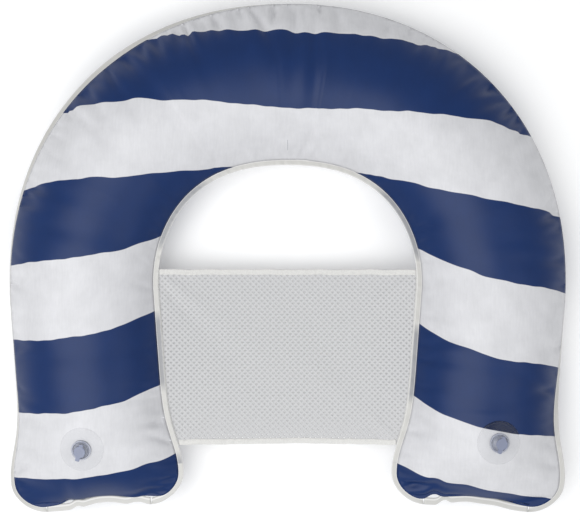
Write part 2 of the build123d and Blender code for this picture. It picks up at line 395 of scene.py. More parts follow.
def cover_grid(shape, rows, columns):
    """The upper cover: in each row an arc from the outer to the inner seam. Its height is the
    rise, and near the toe the height of a circle that climbs from the toe's seam.

    Gives the points, the place across as a share of the flange's half width (-1 outside,
    1 inside), the angle of the arc at each point and how much longer the cloth is than its plan."""
    outside = edge_half(shape, rows, outer_inset(rows))
    inside = edge_half(shape, rows, shape.flange_width)
    half = np.maximum((outside + inside) / 2, 1e-4)
    shift = (inside - outside) / 2
    rise = COVER_TOP - COVER_BASE
    climb = (shape.toe_run**2 + rise**2) / (2 * rise)
    short = np.maximum(shape.toe_run - (rows["distance"] - shape.flange_width), 0)
    tall = np.maximum(rise - climb + np.sqrt(climb**2 - short**2), 1e-6)
    bend = (half**2 + tall**2) / (2 * tall)
    widest = np.arcsin(np.clip(half / bend, 0, 1))
    lane = np.linspace(-1, 1, columns)
    turn = widest[:, None] * lane
    across = bend[:, None] * np.sin(turn)
    height = tall[:, None] - bend[:, None] * (1 - np.cos(turn))
    plan = across + shift[:, None]
    place = rows["middle"][:, None] + rows["inward"][:, None] * plan[..., None]
    points = np.concatenate([place, (COVER_BASE + height)[..., None]], -1)
    return points, plan / rows["half"][:, None], turn, bend[:, None] * turn - across


def print_climb(x, y):
    """How far along the stripes' pitch a point lies, in millimetres: its Y and the print's
    slight turn, less a cubic curve of Y from the toes to the crown."""
    far = y / 400
    return y + 20.5 + 0.0507 * x - 21.5 * far - 28.0 * far**2 + 19.1 * far**3


def print_place(shape, rows, points, share, excess):
    """Where each point of the cover lies on the flat printed cloth.

    Across: its X, plus the cloth taken up by the arc. Along the stripes' pitch: its Y, plus the
    print's slight turn, the cloth taken up by the arc where the tube runs sideways, a climb
    towards the inner seam of the legs, and a slow curve from the toes to the crown."""
    x, y = points[..., 0] / MM, points[..., 1] / MM
    arch = np.maximum(rows["angle"] + shape.leg_lean, 0) / (math.pi / 2 + shape.leg_lean)
    on_leg = (1 - arch)[:, None]
    taken = excess / MM
    lengthways = np.sin(rows["angle"])[:, None] * taken
    inner = np.clip((1 + share) / 2, 0, 1) ** 2.2 * on_leg
    along = print_climb(x, y)
    along -= 53.6 * inner + 1.106 * lengthways + 0.3 * taken * on_leg
    over = x + taken * rows["inward"][:, None, 0]
    return np.stack([over, along], -1) * MM


def valve_frame(side):
    """A valve's centre on the cover, its outward normal and its cap's direction, worked out
    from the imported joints: the seat's bore gives the axis, the cap's hinge the direction."""
    bore = BORES[f"{side}_nozzle_seat"]
    normal = np.array(JOINTS[f"{side}_valve_press"]["axis"], float)
    normal /= np.linalg.norm(normal)
    hinge = np.array(JOINTS[f"{side}_cap_swing"]["pos_m"], float)
    seat = np.array(bore["pos_m"], float)
    centre = seat - normal * STEM_SEAT_HEIGHT
    out = hinge - centre
    out -= normal * (out @ normal)
    return centre, normal, out / np.linalg.norm(out)


STEM_SEAT_HEIGHT = 1.0 * MM  # the seat's middle stands this far above the cover
PORT_RADIUS = 11.6 * MM  # the hole in the fabric under each valve
PATCH_RADIUS = 34.5 * MM  # the weld disc


def valve_distance(points):
    """Distance from each point to the nearer valve's axis."""
    away = []
    for side in SIDES:
        centre, normal, _ = valve_frame(side)
        offset = points - centre
        along = offset @ normal
        away.append(np.sqrt(np.maximum((offset**2).sum(-1) - along**2, 0)) + (np.abs(along) > 0.03))
    return np.minimum(*away)


def puckers(fabric, rows, points, seed):
    """Small folds that run in from the seams: each is a narrow bell along the seam, slanted a
    little, whose depth rises just inside the seam and dies away further in. Longer, shallower
    ones run between them on the outside of the arch, where the flat cloth had to shorten."""
    rng = np.random.default_rng(seed)
    out = np.zeros(points.shape[:2])
    arc = np.cumsum(np.linalg.norm(np.diff(points, axis=1, prepend=points[:, :1]), axis=-1), axis=1)
    for edge, run_in in ((0, arc), (-1, arc[:, -1:] - arc)):
        line = points[:, edge]
        along = np.cumsum(np.r_[0, np.linalg.norm(np.diff(line, axis=0), axis=1)])
        total = along[-1]
        place = 0.0
        while place < total:
            place += fabric.pucker_pitch * rng.uniform(0.6, 1.45)
            depth = rng.gamma(3.0, 0.33)
            reach = rng.uniform(9, 20) * MM * (1 + 1.2 * (rng.random() < 0.22))
            slant = rng.normal(0, 0.16)
            width = rng.uniform(2.6, 4.4) * MM
            share = np.interp(place, along, rows["share"])
            on_arch = math.exp(-(((share - 0.5) / 0.27) ** 4))
            near_toe = math.exp(-((min(share, 1 - share) / 0.06) ** 2))
            strength = (0.5 + 0.8 * on_arch if edge == 0 else 0.5 - 0.2 * on_arch) + 0.6 * near_toe
            if edge == 0 and on_arch > 0.5 and rng.random() < 0.35:
                reach *= 1.7
            near = np.abs(along - place) < 6 * width + 0.05 * abs(slant) + 0.012
            inwards = run_in[near]
            widened = width * (1 + inwards / 0.03)
            sideways = (along[near, None] - place - slant * inwards) / widened
            rise_in = inwards / reach
            shape_in = rise_in * np.exp(1 - rise_in)
            out[near] -= depth * strength * fabric.pucker_depth * shape_in * np.exp(-(sideways**2))
    return out


def slow_waves(points, seed, size, amount):
    """A gentle swell over the whole cover: a sum of sine waves in random directions and phases."""
    rng = np.random.default_rng(seed)
    total = np.zeros(points.shape[:-1])
    for _ in range(14):
        way = unit(rng.normal(size=2))
        length = size * rng.uniform(0.6, 1.7)
        total += np.sin(2 * np.pi * (points[..., :2] @ way) / length + rng.uniform(0, 6.28))
    return amount * total / math.sqrt(14)


def settle(rows, covers):
    """How far each point of both covers moves when the air presses the slack cloth out.

    The two grids, thinned to every second row and column, are closed into one bag. Blender's
    Cloth blows it up with the seam held and with the cloth let out most near the outer seam of
    the arch, where the flat pieces were longer. A point's move is kept under a cap, and the
    moves are spread back over the full grids."""
    thin = [cover[::2, ::2] for cover in covers]
    count, columns = thin[0].shape[:2]
    quads = grid_faces(count, columns)
    size = count * columns
    number = np.arange(size).reshape(count, columns)
    loop = np.concatenate([number[:, 0], number[-1, 1:], number[-2::-1, -1], number[0, -2:0:-1]])
    after = np.roll(loop, -1)
    top = facing(thin[0].reshape(-1, 3), quads, (0, 0, 1))
    points = np.concatenate([cover.reshape(-1, 3) for cover in thin])
    rim = np.stack([loop, after, after + size, loop + size], -1)
    bag = make_mesh("bag", points, np.concatenate([top, top[:, ::-1] + size, rim]))
    outward(bag)
    held = bag.vertex_groups.new(name="seam")
    held.add(np.concatenate([loop, loop + size]).tolist(), 1.0, "REPLACE")
    slack = bag.vertex_groups.new(name="slack")
    arch = np.exp(-(((rows["share"][::2] - 0.5) / 0.3) ** 6))
    toes = np.exp(-((np.minimum(rows["share"], 1 - rows["share"])[::2] / 0.05) ** 2))
    lane = np.linspace(-1, 1, columns)
    let_out = 0.25 + 0.75 * arch[:, None] * np.clip(-lane, 0, 1) ** 1.5 + 0.5 * toes[:, None]
    for index, value in enumerate(np.tile(np.clip(let_out, 0, 1).ravel(), 2).tolist()):
        slack.add([index], value, "REPLACE")
    cloth = bag.modifiers.new("air", "CLOTH")
    settings = cloth.settings
    settings.quality = 6
    settings.mass = 0.2
    settings.tension_stiffness = settings.compression_stiffness = 40
    settings.shear_stiffness = 20
    settings.bending_stiffness = 0.15
    settings.air_damping = 2.0
    settings.use_pressure = True
    settings.uniform_pressure_force = 4.0
    settings.vertex_group_mass = "seam"
    settings.vertex_group_shrink = "slack"
    settings.shrink_min = 0.0
    settings.shrink_max = -0.06
    settings.effector_weights.gravity = 0.0
    cloth.collision_settings.use_collision = False
    cloth.point_cache.frame_start, cloth.point_cache.frame_end = 1, SETTLE_FRAMES
    scene = bpy.context.scene
    for step in range(1, SETTLE_FRAMES + 1):
        scene.frame_set(step)
    blown = bag.evaluated_get(bpy.context.evaluated_depsgraph_get()).to_mesh()
    after_air = np.empty(len(points) * 3, np.float32)
    blown.vertices.foreach_get("co", after_air)
    move = after_air.reshape(-1, 3) - points
    bpy.data.objects.remove(bag)
    scene.frame_set(1)
    length = np.linalg.norm(move, axis=1, keepdims=True)
    move *= SETTLE_CAP * np.tanh(length / SETTLE_CAP) / np.maximum(length, 1e-9)
    return [spread(part, covers[0].shape[:2]) for part in move.reshape(2, count, columns, 3)]


SETTLE_FRAMES = 20  # steps that the cloth is blown up for
SETTLE_CAP = 6 * MM  # the most that a point may move


def spread(values, size):
    """A grid's values at twice its density: straight between points, then rounded a little."""
    for axis in (0, 1):
        middle = (np.delete(values, -1, axis) + np.delete(values, 0, axis)) / 2
        shape = list(values.shape)
        shape[axis] = size[axis]
        full = np.zeros(shape)
        keep, between = [slice(None)] * 3, [slice(None)] * 3
        keep[axis], between[axis] = slice(0, None, 2), slice(1, None, 2)
        full[tuple(keep)], full[tuple(between)] = values, middle
        values = full
    return values


_covers = {}


def inflated_covers(shape, fabric):
    """Both covers as grids, worked out once: the plain arcs, what the air does to the slack
    cloth, then puckers and slow waves along the normals, all kept still round the valves."""
    if not _covers:
        rows = centre_rows(shape, shape.flange_width, shape.grid_pitch)
        plain, share, turn, excess = cover_grid(shape, rows, 61)
        under = plain * (1, 1, -1) + (0, 0, 2 * SEAM_LEVEL)
        moves = settle(rows, [plain, under])
        still = np.clip((valve_distance(plain) - PATCH_RADIUS) / (18 * MM), 0, 1)
        still = (still * still * (3 - 2 * still))[..., None]
        cloth = print_place(shape, rows, plain, share, excess)
        cloth[..., 1] += slow_waves(plain, fabric.seed + 9, 0.075, 1.3 * MM)
        cloth[..., 1] += slow_waves(plain, fabric.seed + 11, 0.028, 0.7 * MM)
        fade = np.clip(np.cos(turn / turn[:, -1:] * math.pi / 2), 0, 1)
        for name, cover, move, up, keep in (
            ("upper", plain, moves[0], 1, still),
            ("lower", under, moves[1], -1, 1.0),
        ):
            normals = grid_normals(cover)
            normals *= np.sign(normals[..., 2:3].mean()) * up
            seed = fabric.seed + (up < 0) * 5
            push = puckers(fabric, rows, cover, seed)
            push += slow_waves(cover, seed + 1, 0.11, 0.5 * MM) * fade
            shaped = cover + (normals * push[..., None] + move) * keep
            if up > 0:
                shaped[..., 2] = np.maximum(shaped[..., 2], COVER_BASE)
            else:
                shaped[..., 2] = np.clip(shaped[..., 2], 0.3 * MM, 2 * SEAM_LEVEL - COVER_BASE)
            _covers[name] = (rows, toe_pull(rows, shaped), cloth)
    return _covers


def toe_pull(rows, points):
    """Draws the toe's seam in between its outer lobe and its inner corner, where the weld has
    gathered it, fading away up the leg."""
    points = points.copy()
    for side, pulls in TOE_PULLS.items():
        on_side = np.sign(points[..., 0]) == side
        index = 0 if side > 0 else -1
        middle, inward = rows["middle"][index], rows["inward"][index]
        back = np.array([abs(inward[1]) * side, abs(inward[0])])
        across = ((points[..., :2] - middle) @ inward) / rows["half"][index]
        up_leg = np.maximum((points[..., :2] - middle) @ back, 0)
        pull = np.zeros(across.shape)
        for place, width, depth in pulls:
            pull += depth * np.exp(-np.abs((across - place) / width) ** 2.4)
        fade = np.exp(-((up_leg / 0.045) ** 2)) * on_side
        points[..., :2] += (pull * fade)[..., None] * back
    return points


# Where each toe's seam is gathered: place across the toe (-1 outside, 1 inside), width, depth
TOE_PULLS = {
    -1: ((-0.42, 0.09, 4 * MM), (0.1, 0.42, 9 * MM), (0.74, 0.16, 5 * MM)),
    1: ((-0.2, 0.4, 7 * MM), (0.3, 0.3, 7 * MM), (0.62, 0.1, 7 * MM)),
}


def cut_ports(points, faces):
    """Opens a round port at each valve: faces wholly inside it go, and points left inside are
    pushed out to its edge."""
    distance = valve_distance(points)
    inside = distance < PORT_RADIUS
    kept = faces[~inside[faces].all(1)]
    for side in SIDES:
        centre, normal, _ = valve_frame(side)
        offset = points - centre
        along = (offset @ normal)[:, None]
        flat = offset - along * normal
        reach = np.linalg.norm(flat, axis=1, keepdims=True)
        push = inside & (np.linalg.norm(offset, axis=1) < 0.03)
        moved = centre + along * normal + flat / np.maximum(reach, 1e-6) * PORT_RADIUS
        points = np.where(push[:, None], moved, points)
    return points, kept


def drop_loose(points, faces, uv, normals):
    """Only the points that a face uses, with the faces renumbered."""
    used, renumbered = np.unique(faces, return_inverse=True)
    return points[used], renumbered.reshape(faces.shape), uv[used], normals[used]


# --------------------------------------------------------------- materials


def add_node(tree, kind, links=None, **settings):
    """Adds a node: settings name its properties or its inputs, links join its inputs."""
    item = tree.nodes.new(kind)
    for key, value in settings.items():
        if key in item.inputs:
            item.inputs[key].default_value = value
        elif key.startswith("in") and key[2:].isdigit():
            item.inputs[int(key[2:])].default_value = value
        else:
            setattr(item, key, value)
    for key, source in (links or {}).items():
        tree.links.new(source, item.inputs[key])
    return item


def new_material(name, **sockets):
    """A material with one Principled BSDF whose own sockets are set by name."""
    material = bpy.data.materials.new(name)
    material.use_nodes = True
    tree = material.node_tree
    surface = tree.nodes["Principled BSDF"]
    for key, value in sockets.items():
        surface.inputs[key.replace("_", " ")].default_value = value
    return material, tree, surface


def printed_mask(tree, fabric, blur=0.3 * MM):
    """1 on the navy stripes and 0 on the white: the sine of the cloth's second coordinate
    over one stripe, cut off sharply at zero."""
    cloth = add_node(tree, "ShaderNodeUVMap", uv_map="cloth")
    parts = add_node(tree, "ShaderNodeSeparateXYZ", {0: cloth.outputs[0]})
    start = add_node(
        tree,
        "ShaderNodeMath",
        {0: parts.outputs["Y"]},
        operation="SUBTRACT",
        in1=fabric.stripe_start,
    )
    scale = add_node(
        tree,
        "ShaderNodeMath",
        {0: start.outputs[0]},
        operation="MULTIPLY",
        in1=math.pi / fabric.stripe_width,
    )
    wave = add_node(tree, "ShaderNodeMath", {0: scale.outputs[0]}, operation="SINE")
    edge = math.pi * blur / fabric.stripe_width
    mask = add_node(
        tree, "ShaderNodeMapRange", {0: wave.outputs[0]}, in1=-edge, in2=edge, in3=0.0, in4=1.0
    )
    return cloth, mask.outputs[0]


def striped_polyester(fabric):
    """Polyester weave laminated to vinyl, printed navy and white: a soft satin face whose upright
    ribs and slightly uneven dye keep it from looking like bare plastic."""
    material, tree, surface = new_material(
        "striped_laminated_polyester",
        Roughness=0.4,
        IOR=1.5,
        Specular_IOR_Level=0.3,
        Sheen_Weight=0.04,
        Sheen_Roughness=0.4,
    )
    cloth, mask = printed_mask(tree, fabric)
    white, navy = (*fabric.white, 1), (*fabric.navy, 1)
    dyed = add_node(tree, "ShaderNodeMix", {0: mask}, data_type="RGBA", in6=white, in7=navy)
    cloud = add_node(
        tree,
        "ShaderNodeTexNoise",
        {"Vector": cloth.outputs[0]},
        Scale=26.0,
        Detail=4.0,
        Roughness=0.6,
    )
    clouded = add_node(
        tree, "ShaderNodeMapRange", {0: cloud.outputs["Fac"]}, in1=0.3, in2=0.7, in3=0.93, in4=1.04
    )
    # Real ribs stand 0.5 mm apart; they are drawn 3.2 mm apart so that they show
    stretch = add_node(
        tree,
        "ShaderNodeMapping",
        {"Vector": cloth.outputs[0]},
        vector_type="POINT",
        Scale=(1 / (3.2 * MM), 1 / (26 * MM), 1.0),
    )
    rib = add_node(
        tree,
        "ShaderNodeTexNoise",
        {"Vector": stretch.outputs[0]},
        Scale=1.0,
        Detail=2.0,
        Roughness=0.7,
    )
    ribbed = add_node(
        tree, "ShaderNodeMapRange", {0: rib.outputs["Fac"]}, in1=0.3, in2=0.7, in3=0.965, in4=1.02
    )
    tone = add_node(
        tree,
        "ShaderNodeMath",
        {0: clouded.outputs[0], 1: ribbed.outputs[0]},
        operation="MULTIPLY",
    )
    shade = add_node(tree, "ShaderNodeCombineColor", {i: tone.outputs[0] for i in range(3)})
    toned = add_node(
        tree,
        "ShaderNodeMix",
        {6: dyed.outputs[2], 7: shade.outputs[0]},
        data_type="RGBA",
        blend_type="MULTIPLY",
        in0=1.0,
    )
    tree.links.new(toned.outputs[2], surface.inputs["Base Color"])
    bump = add_node(
        tree,
        "ShaderNodeBump",
        {"Height": rib.outputs["Fac"]},
        Strength=0.12,
        Distance=0.4 * MM,
    )
    tree.links.new(bump.outputs[0], surface.inputs["Normal"])
    return material


def vinyl_relief(tree, surface, scale, detail, strength, distance):
    """Fine relief of a vinyl face: noise on the piece's own coordinates, as a bump."""
    place = add_node(tree, "ShaderNodeTexCoord")
    grain = add_node(
        tree, "ShaderNodeTexNoise", {"Vector": place.outputs["Object"]}, Scale=scale, Detail=detail
    )
    bump = add_node(
        tree,
        "ShaderNodeBump",
        {"Height": grain.outputs["Fac"]},
        Strength=strength,
        Distance=distance,
    )
    tree.links.new(bump.outputs[0], surface.inputs["Normal"])


def welded_vinyl(fabric):
    """Clear vinyl welded by radio frequency: a milky band that goes grey beside the navy print,
    partly the navy seen through it and partly painted shade under the fabric's edge, with a
    bright bead of painted highlight where it leaves the fabric and a light cut edge."""
    material, tree, surface = new_material(
        "welded_vinyl_edge", Roughness=0.32, IOR=1.53, Coat_Weight=0.15, Coat_Roughness=0.2
    )
    _, mask = printed_mask(tree, fabric, 9 * MM)
    # Grey beside the navy stripes: partly the navy seen through the vinyl, partly painted shade
    # under the fabric's edge
    pale, grey = linear("#c1c0bc"), linear("#929396")
    band = add_node(tree, "ShaderNodeMix", {0: mask}, data_type="RGBA", in6=pale, in7=grey)
    lane = add_node(tree, "ShaderNodeAttribute", attribute_name="lane")
    edge = add_node(tree, "ShaderNodeValToRGB", {0: lane.outputs["Fac"]})
    ramp = edge.color_ramp
    ramp.elements[0].position, ramp.elements[0].color = 0.0, (0.2, 0.2, 0.2, 1)
    ramp.elements[1].position, ramp.elements[1].color = 1.0, (0.9, 0.9, 0.9, 1)
    # The spike at lane 0.3 is a painted highlight, a bright bead where the band leaves the fabric;
    # the rise at lane 1 is the light cut edge
    for position, value in ((0.2, 0.3), (0.3, 0.9), (0.42, 0.0), (0.84, 0.0)):
        ramp.elements.new(position).color = (value,) * 3 + (1,)
    colour = add_node(
        tree,
        "ShaderNodeMix",
        {0: edge.outputs[0], 6: band.outputs[2]},
        data_type="RGBA",
        in7=linear("#e4e3e1"),
    )
    tree.links.new(colour.outputs[2], surface.inputs["Base Color"])
    vinyl_relief(tree, surface, 420.0, 2.0, 0.25, 0.3 * MM)
    return material


def soft_vinyl(name, colour, through, roughness):
    """Moulded soft vinyl, clear with a cool tint: light passes through it and its thick places
    look blue-grey, with a slight orange-peel on the gloss."""
    material, tree, surface = new_material(
        name,
        Base_Color=linear(colour),
        Roughness=roughness,
        IOR=1.53,
        Transmission_Weight=through,
        Coat_Weight=0.2,
    )
    vinyl_relief(tree, surface, 260.0, 2.0, 0.2, 0.3 * MM)
    return material


def weld_disc_vinyl(fabric):
    """Clear vinyl disc welded over the cloth: it wets the weave out, so the navy under it looks
    deeper and glossier and the white a little cooler."""
    material, tree, surface = new_material(
        "clear_weld_disc", Roughness=0.16, IOR=1.45, Coat_Weight=0.2, Coat_Roughness=0.1
    )
    _, mask = printed_mask(tree, fabric)
    pale, deep = linear("#dcdde0"), linear("#0c1d40")
    wet = add_node(tree, "ShaderNodeMix", {0: mask}, data_type="RGBA", in6=pale, in7=deep)
    tree.links.new(wet.outputs[2], surface.inputs["Base Color"])
    cover = add_node(tree, "ShaderNodeMapRange", {0: mask}, in1=0.0, in2=1.0, in3=0.1, in4=0.4)
    tree.links.new(cover.outputs[0], surface.inputs["Alpha"])
    vinyl_relief(tree, surface, 120.0, 1.0, 0.3, 0.4 * MM)
    return material


def woven_yarn(name, colour, grain, contrast):
    """Polyester yarn, knitted or woven: matt and slightly mottled, with the threads'
    fine relief."""
    material, tree, surface = new_material(name, Roughness=0.72, IOR=1.5, Sheen_Weight=0.2)
    place = add_node(tree, "ShaderNodeTexCoord")
    thread = add_node(
        tree,
        "ShaderNodeTexNoise",
        {"Vector": place.outputs["Object"]},
        Scale=1 / grain,
        Detail=3.0,
        Roughness=0.65,
    )
    tone = add_node(
        tree,
        "ShaderNodeMapRange",
        {0: thread.outputs["Fac"]},
        in1=0.3,
        in2=0.7,
        in3=1 - contrast,
        in4=1.0,
    )
    shade = add_node(tree, "ShaderNodeCombineColor", {i: tone.outputs[0] for i in range(3)})
    toned = add_node(
        tree,
        "ShaderNodeMix",
        {7: shade.outputs[0]},
        data_type="RGBA",
        blend_type="MULTIPLY",
        in0=1.0,
        in6=linear(colour),
    )
    tree.links.new(toned.outputs[2], surface.inputs["Base Color"])
    bump = add_node(
        tree, "ShaderNodeBump", {"Height": thread.outputs["Fac"]}, Strength=0.3, Distance=0.3 * MM
    )
    tree.links.new(bump.outputs[0], surface.inputs["Normal"])
    return material


def studio_paper():
    """White studio paper, evenly lit, that takes hardly any shadow."""
    material, _, _ = new_material(
        "white_studio_paper",
        Base_Color=linear("#f4f4f4"),
        Roughness=0.9,
        Emission_Color=(1, 1, 1, 1),
        Emission_Strength=0.15,
    )
    return material


# --------------------------------------------------------------- operators


class FLOAT_OT_covers(bpy.types.Operator):
    """Build the striped fabric above and below the seam"""

    bl_idname = "pool_float.covers"
    bl_label = "Striped covers"

    def execute(self, context):
        shape, fabric = context.scene.float_shape, context.scene.float_fabric
        material = striped_polyester(fabric)
        film = soft_vinyl("clear_bladder_film", "#dfe4ea", 0.6, 0.2)
        for upper, cover_name, film_name in (
            (True, "top_cover", "top_film"),
            (False, "bottom_cover", "bottom_film"),
        ):
            up = (0, 0, 1 if upper else -1)
            _, points, cloth = inflated_covers(shape, fabric)["upper" if upper else "lower"]
            normals = grid_normals(points)
            normals *= np.sign(normals[..., 2].mean()) * up[2]
            count = points.shape[:2]
            points, normals = points.reshape(-1, 3), normals.reshape(-1, 3)
            uv = cloth.reshape(-1, 2)
            faces = facing(points, grid_faces(*count), up)
            if upper:
                points, faces = cut_ports(points, faces)
                points, faces, uv, normals = drop_loose(points, faces, uv, normals)
            skin = closed_sheet(points, normals, faces, uv, 0.4 * MM)
            cover = make_mesh(cover_name + "_fabric", skin[0], skin[1], skin[2])
            finish_piece(cover, material, "float", [cover_name])
            inner = closed_sheet(points - normals * 0.6 * MM, normals, faces, uv, 0.3 * MM)
            lining = make_mesh(film_name + "_lining", *inner)
            finish_piece(lining, film, "float", [film_name])
        return {"FINISHED"}


class FLOAT_OT_divider(bpy.types.Operator):
    """Build the wall that parts the two air chambers at the crown"""

    bl_idname = "pool_float.divider"
    bl_label = "Chamber divider"

    def execute(self, context):
        low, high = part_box("chamber_divider")
        middle, half = (low + high) / 2, (high - low) / 2
        # A plate whose height falls off as the square root of 1 less the square of the width
        lane = np.sin(np.linspace(-math.pi / 2, math.pi / 2, 49))
        level = np.linspace(-1, 1, 21)
        wide, tall = np.meshgrid(lane, level, indexing="ij")
        arc = np.sqrt(np.maximum(1 - wide**2, 0)) * 0.94
        y = middle.y + wide * half.y * 0.96
        z = middle.z + tall * arc * half.z * 0.92
        x = np.full_like(y, middle.x + half.x * 0.8)
        x = x + 1.5 * MM * np.cos(wide * 7) * (1 - tall**2) * arc
        points = np.stack([x, y, z], -1)[1:-1]
        flat = points.reshape(-1, 3)
        faces = facing(flat, grid_faces(*points.shape[:2]), (1, 0, 0))
        normals = np.tile([1.0, 0.0, 0.0], (len(flat), 1))
        sheet = closed_sheet(flat, normals, faces, flat[:, 1:], 0.5 * MM)
        wall = make_mesh("chamber_divider_film", *sheet)
        film = bpy.data.materials["clear_bladder_film"]
        finish_piece(wall, film, "float", ["chamber_divider"])
        return {"FINISHED"}


# The lanes of the welded band, from 0 under the fabric to 1 at the cut edge
FLANGE_LANES = np.array([0.0, 0.2, 0.3, 0.42, 0.55, 0.7, 0.85, 1.0])


class FLOAT_OT_flange(bpy.types.Operator):
    """Build the welded band round the edge"""

    bl_idname = "pool_float.flange"
    bl_label = "Weld flange"

    def execute(self, context):
        shape, fabric = context.scene.float_shape, context.scene.float_fabric
        rows = centre_rows(shape, 0.0, 3.0 * MM)
        shows = outer_inset(rows)
        weld, width = shape.weld_width, shape.flange_width
        lane = FLANGE_LANES
        rng = np.random.default_rng(fabric.seed + 20)
        ripple = np.zeros(len(rows["run"]))
        for _ in range(9):
            pitch = rng.uniform(11, 34) * MM
            ripple += np.sin(2 * math.pi * rows["run"] / pitch + rng.uniform(0, 6.28))
        ripple *= np.clip(rows["distance"] / (60 * MM), 0, 1) ** 2 / 3
        # Each lane stands at an inset that runs from the covered edge to the cut edge. Where the
        # outer band has curled under, its lanes turn down about the fabric's edge.
        parts = []
        for outward, visible in ((True, shows), (False, np.full(len(shows), width))):
            covered = weld - width
            beyond = np.clip((lane * weld - covered) / width, 0, 1)
            tilt = np.arccos(np.clip(visible / width, 0, 1))[:, None]
            reach = beyond * width * np.cos(tilt)
            drop = beyond * width * np.sin(tilt)
            edge = visible[:, None] - reach + np.maximum(covered - lane * weld, 0)
            halves = np.stack([edge_half(shape, rows, e) for e in np.maximum(edge.T, 0)], -1)
            sign = -1 if outward else 1
            place = rows["middle"][:, None] + rows["inward"][:, None] * (sign * halves)[..., None]
            lift = beyond * ripple[:, None] * (0.5 if outward else 0.35) * MM
            parts.append((place, SEAM_LEVEL - drop + lift, sign))
        lanes = np.concatenate([parts[0][0][:, ::-1], parts[1][0]], 1)
        levels = np.concatenate([parts[0][1][:, ::-1], parts[1][1]], 1)
        top = np.concatenate([lanes, levels[..., None]], -1)
        raise_flange(rows, top, np.concatenate([lane[::-1], lane]), shape, fabric)
        return {"FINISHED"}


def raise_flange(rows, grid, lane, shape, fabric):
    """The welded band from its grid: the outer and inner lanes with the gap between them left
    open, and a strip across each toe between the two."""
    count = len(lane) // 2
    sides = [(grid[:, :count], lane[:count]), (grid[:, count:], lane[count:])]
    points, faces, lanes, offset = [], [], [], 0
    for part, lane_values in sides + toe_strip(shape, rows):
        flat = part.reshape(-1, 3)
        faces.append(facing(flat, grid_faces(*part.shape[:2]), (0, 0, 1)) + offset)
        points.append(flat)
        lanes.append(np.tile(lane_values, part.shape[0]))
        offset += len(flat)
    points, faces, lanes = np.concatenate(points), np.concatenate(faces), np.concatenate(lanes)
    points = toe_pull(rows, points)
    normals = np.tile([0.0, 0.0, 1.0], (len(points), 1))
    cloth = flange_print(points)
    # The print coordinate places the inner band's grey, which is partly painted shade; the outer
    # lanes and the toes take a white stripe's coordinate and stay pale
    outside = np.concatenate([np.ones(grid[:, :count].shape[:2]).ravel(), np.zeros(len(points))])
    toes_y = shape.arch_centre - shape.leg_length * 0.86
    clear = (outside[: len(points)] > 0) | (points[:, 1] < toes_y)
    cloth[clear, 1] = -300 * MM
    thickness = 1.2 * MM
    sheet = closed_sheet(points + normals * thickness / 2, normals, faces, cloth, thickness)
    band = make_mesh("weld_flange_band", *sheet)
    attribute = band.data.attributes.new("lane", "FLOAT", "POINT")
    attribute.data.foreach_set("value", np.tile(lanes, 2).astype(np.float32))
    finish_piece(band, welded_vinyl(fabric), "float", ["weld_flange"])


def toe_strip(shape, rows):
    """The band across each toe: straight lanes from one rounded corner to the other."""
    strips = []
    lane = FLANGE_LANES
    for index, side in ((0, 1), (-1, -1)):
        middle, inward = rows["middle"][index], rows["inward"][index]
        back = np.array([inward[1] * side, -inward[0] * side])
        back = back if back[1] > 0 else -back
        wide = float(leg_half_width(shape, rows["leg_width"], np.array(0.0), 0.0))
        across = np.linspace(-1, 1, 61)
        depth = (1 - lane) * shape.weld_width
        place = middle + inward * (across * wide)[:, None, None] + back * depth[None, :, None]
        level = np.full(place.shape[:2] + (1,), SEAM_LEVEL)
        strips.append((np.concatenate([place, level], -1), lane))
    return strips


def flange_print(points):
    """The print beside each point of the band: its Y with the stripes' slight turn, climbing a
    little towards the waist's inner edge, close to what the fabric beside it shows."""
    x, y = points[:, 0] / MM, points[:, 1] / MM
    inner = np.clip((300 - np.hypot(x, np.maximum(y + 39, 0))) / 100, 0, 1)
    on_leg = np.clip(1 - (y + 39) / 200, 0, 1)
    along = print_climb(x, y)
    return np.stack([x, along - 50 * inner * on_leg], -1) * MM


def half_gap(shape, y):
    """Half the gap between the legs' flanges at each Y: the arch's circle above the waist, the
    leg's inner edge below it, found by three rounds of putting the edge back into the line."""
    lean = shape.leg_lean
    rows = centre_rows(shape, 0.0, 20 * MM)
    toe = rows["middle"][0]
    start_y = rows["middle"][np.argmax(rows["distance"] >= shape.leg_length - 1e-9)][1]
    distance = (y - toe[1]) / math.cos(lean)
    for _ in range(3):
        half = leg_half_width(shape, rows["leg_width"], distance, 0.0)
        distance = (y - toe[1] - math.sin(lean) * half) / math.cos(lean)
    leg = toe[0] + math.sin(lean) * distance - math.cos(lean) * half
    arch = np.sqrt(np.maximum(shape.waist_radius**2 - (y - shape.arch_centre) ** 2, 0))
    return np.where(y > start_y, arch, leg)


def sling_level(shape, sling, x, y):
    """Height of the sling: a parabola that sags from the edge level in proportion to the gap,
    with soft folds that run in from the corners."""
    half = half_gap(shape, y)
    edge = SLING_HIGH.z
    sag = sling.sag * half / shape.waist_radius
    level = edge - sag * np.clip(1 - (x / half) ** 2, 0, 1)
    for corner_x, corner_y, angle, depth in SLING_FOLDS:
        c, s = math.cos(angle), math.sin(angle)
        along = (x - corner_x) * c + (y - corner_y) * s
        side = -(x - corner_x) * s + (y - corner_y) * c
        width = 7 * MM + 0.09 * np.maximum(along, 0)
        fade = np.exp(-np.maximum(along, 0) / 0.16) * (along > -0.02)
        level = level + depth * fade * np.exp(-((side / width) ** 2)) * np.clip(
            (half - np.abs(x)) / 0.02, 0, 1
        )
    return level


# Folds in the sling: where each starts, the angle it runs at and how far it stands or dips
SLING_FOLDS = (
    (-0.195, -0.035, math.radians(-38), 2.0 * MM),
    (-0.19, -0.06, math.radians(-47), -1.8 * MM),
    (0.195, -0.035, math.radians(218), 2.2 * MM),
    (0.185, -0.07, math.radians(231), -1.6 * MM),
    (-0.165, -0.285, math.radians(43), 1.8 * MM),
    (0.165, -0.285, math.radians(139), 2.0 * MM),
    (0.15, -0.295, math.radians(122), -1.4 * MM),
)


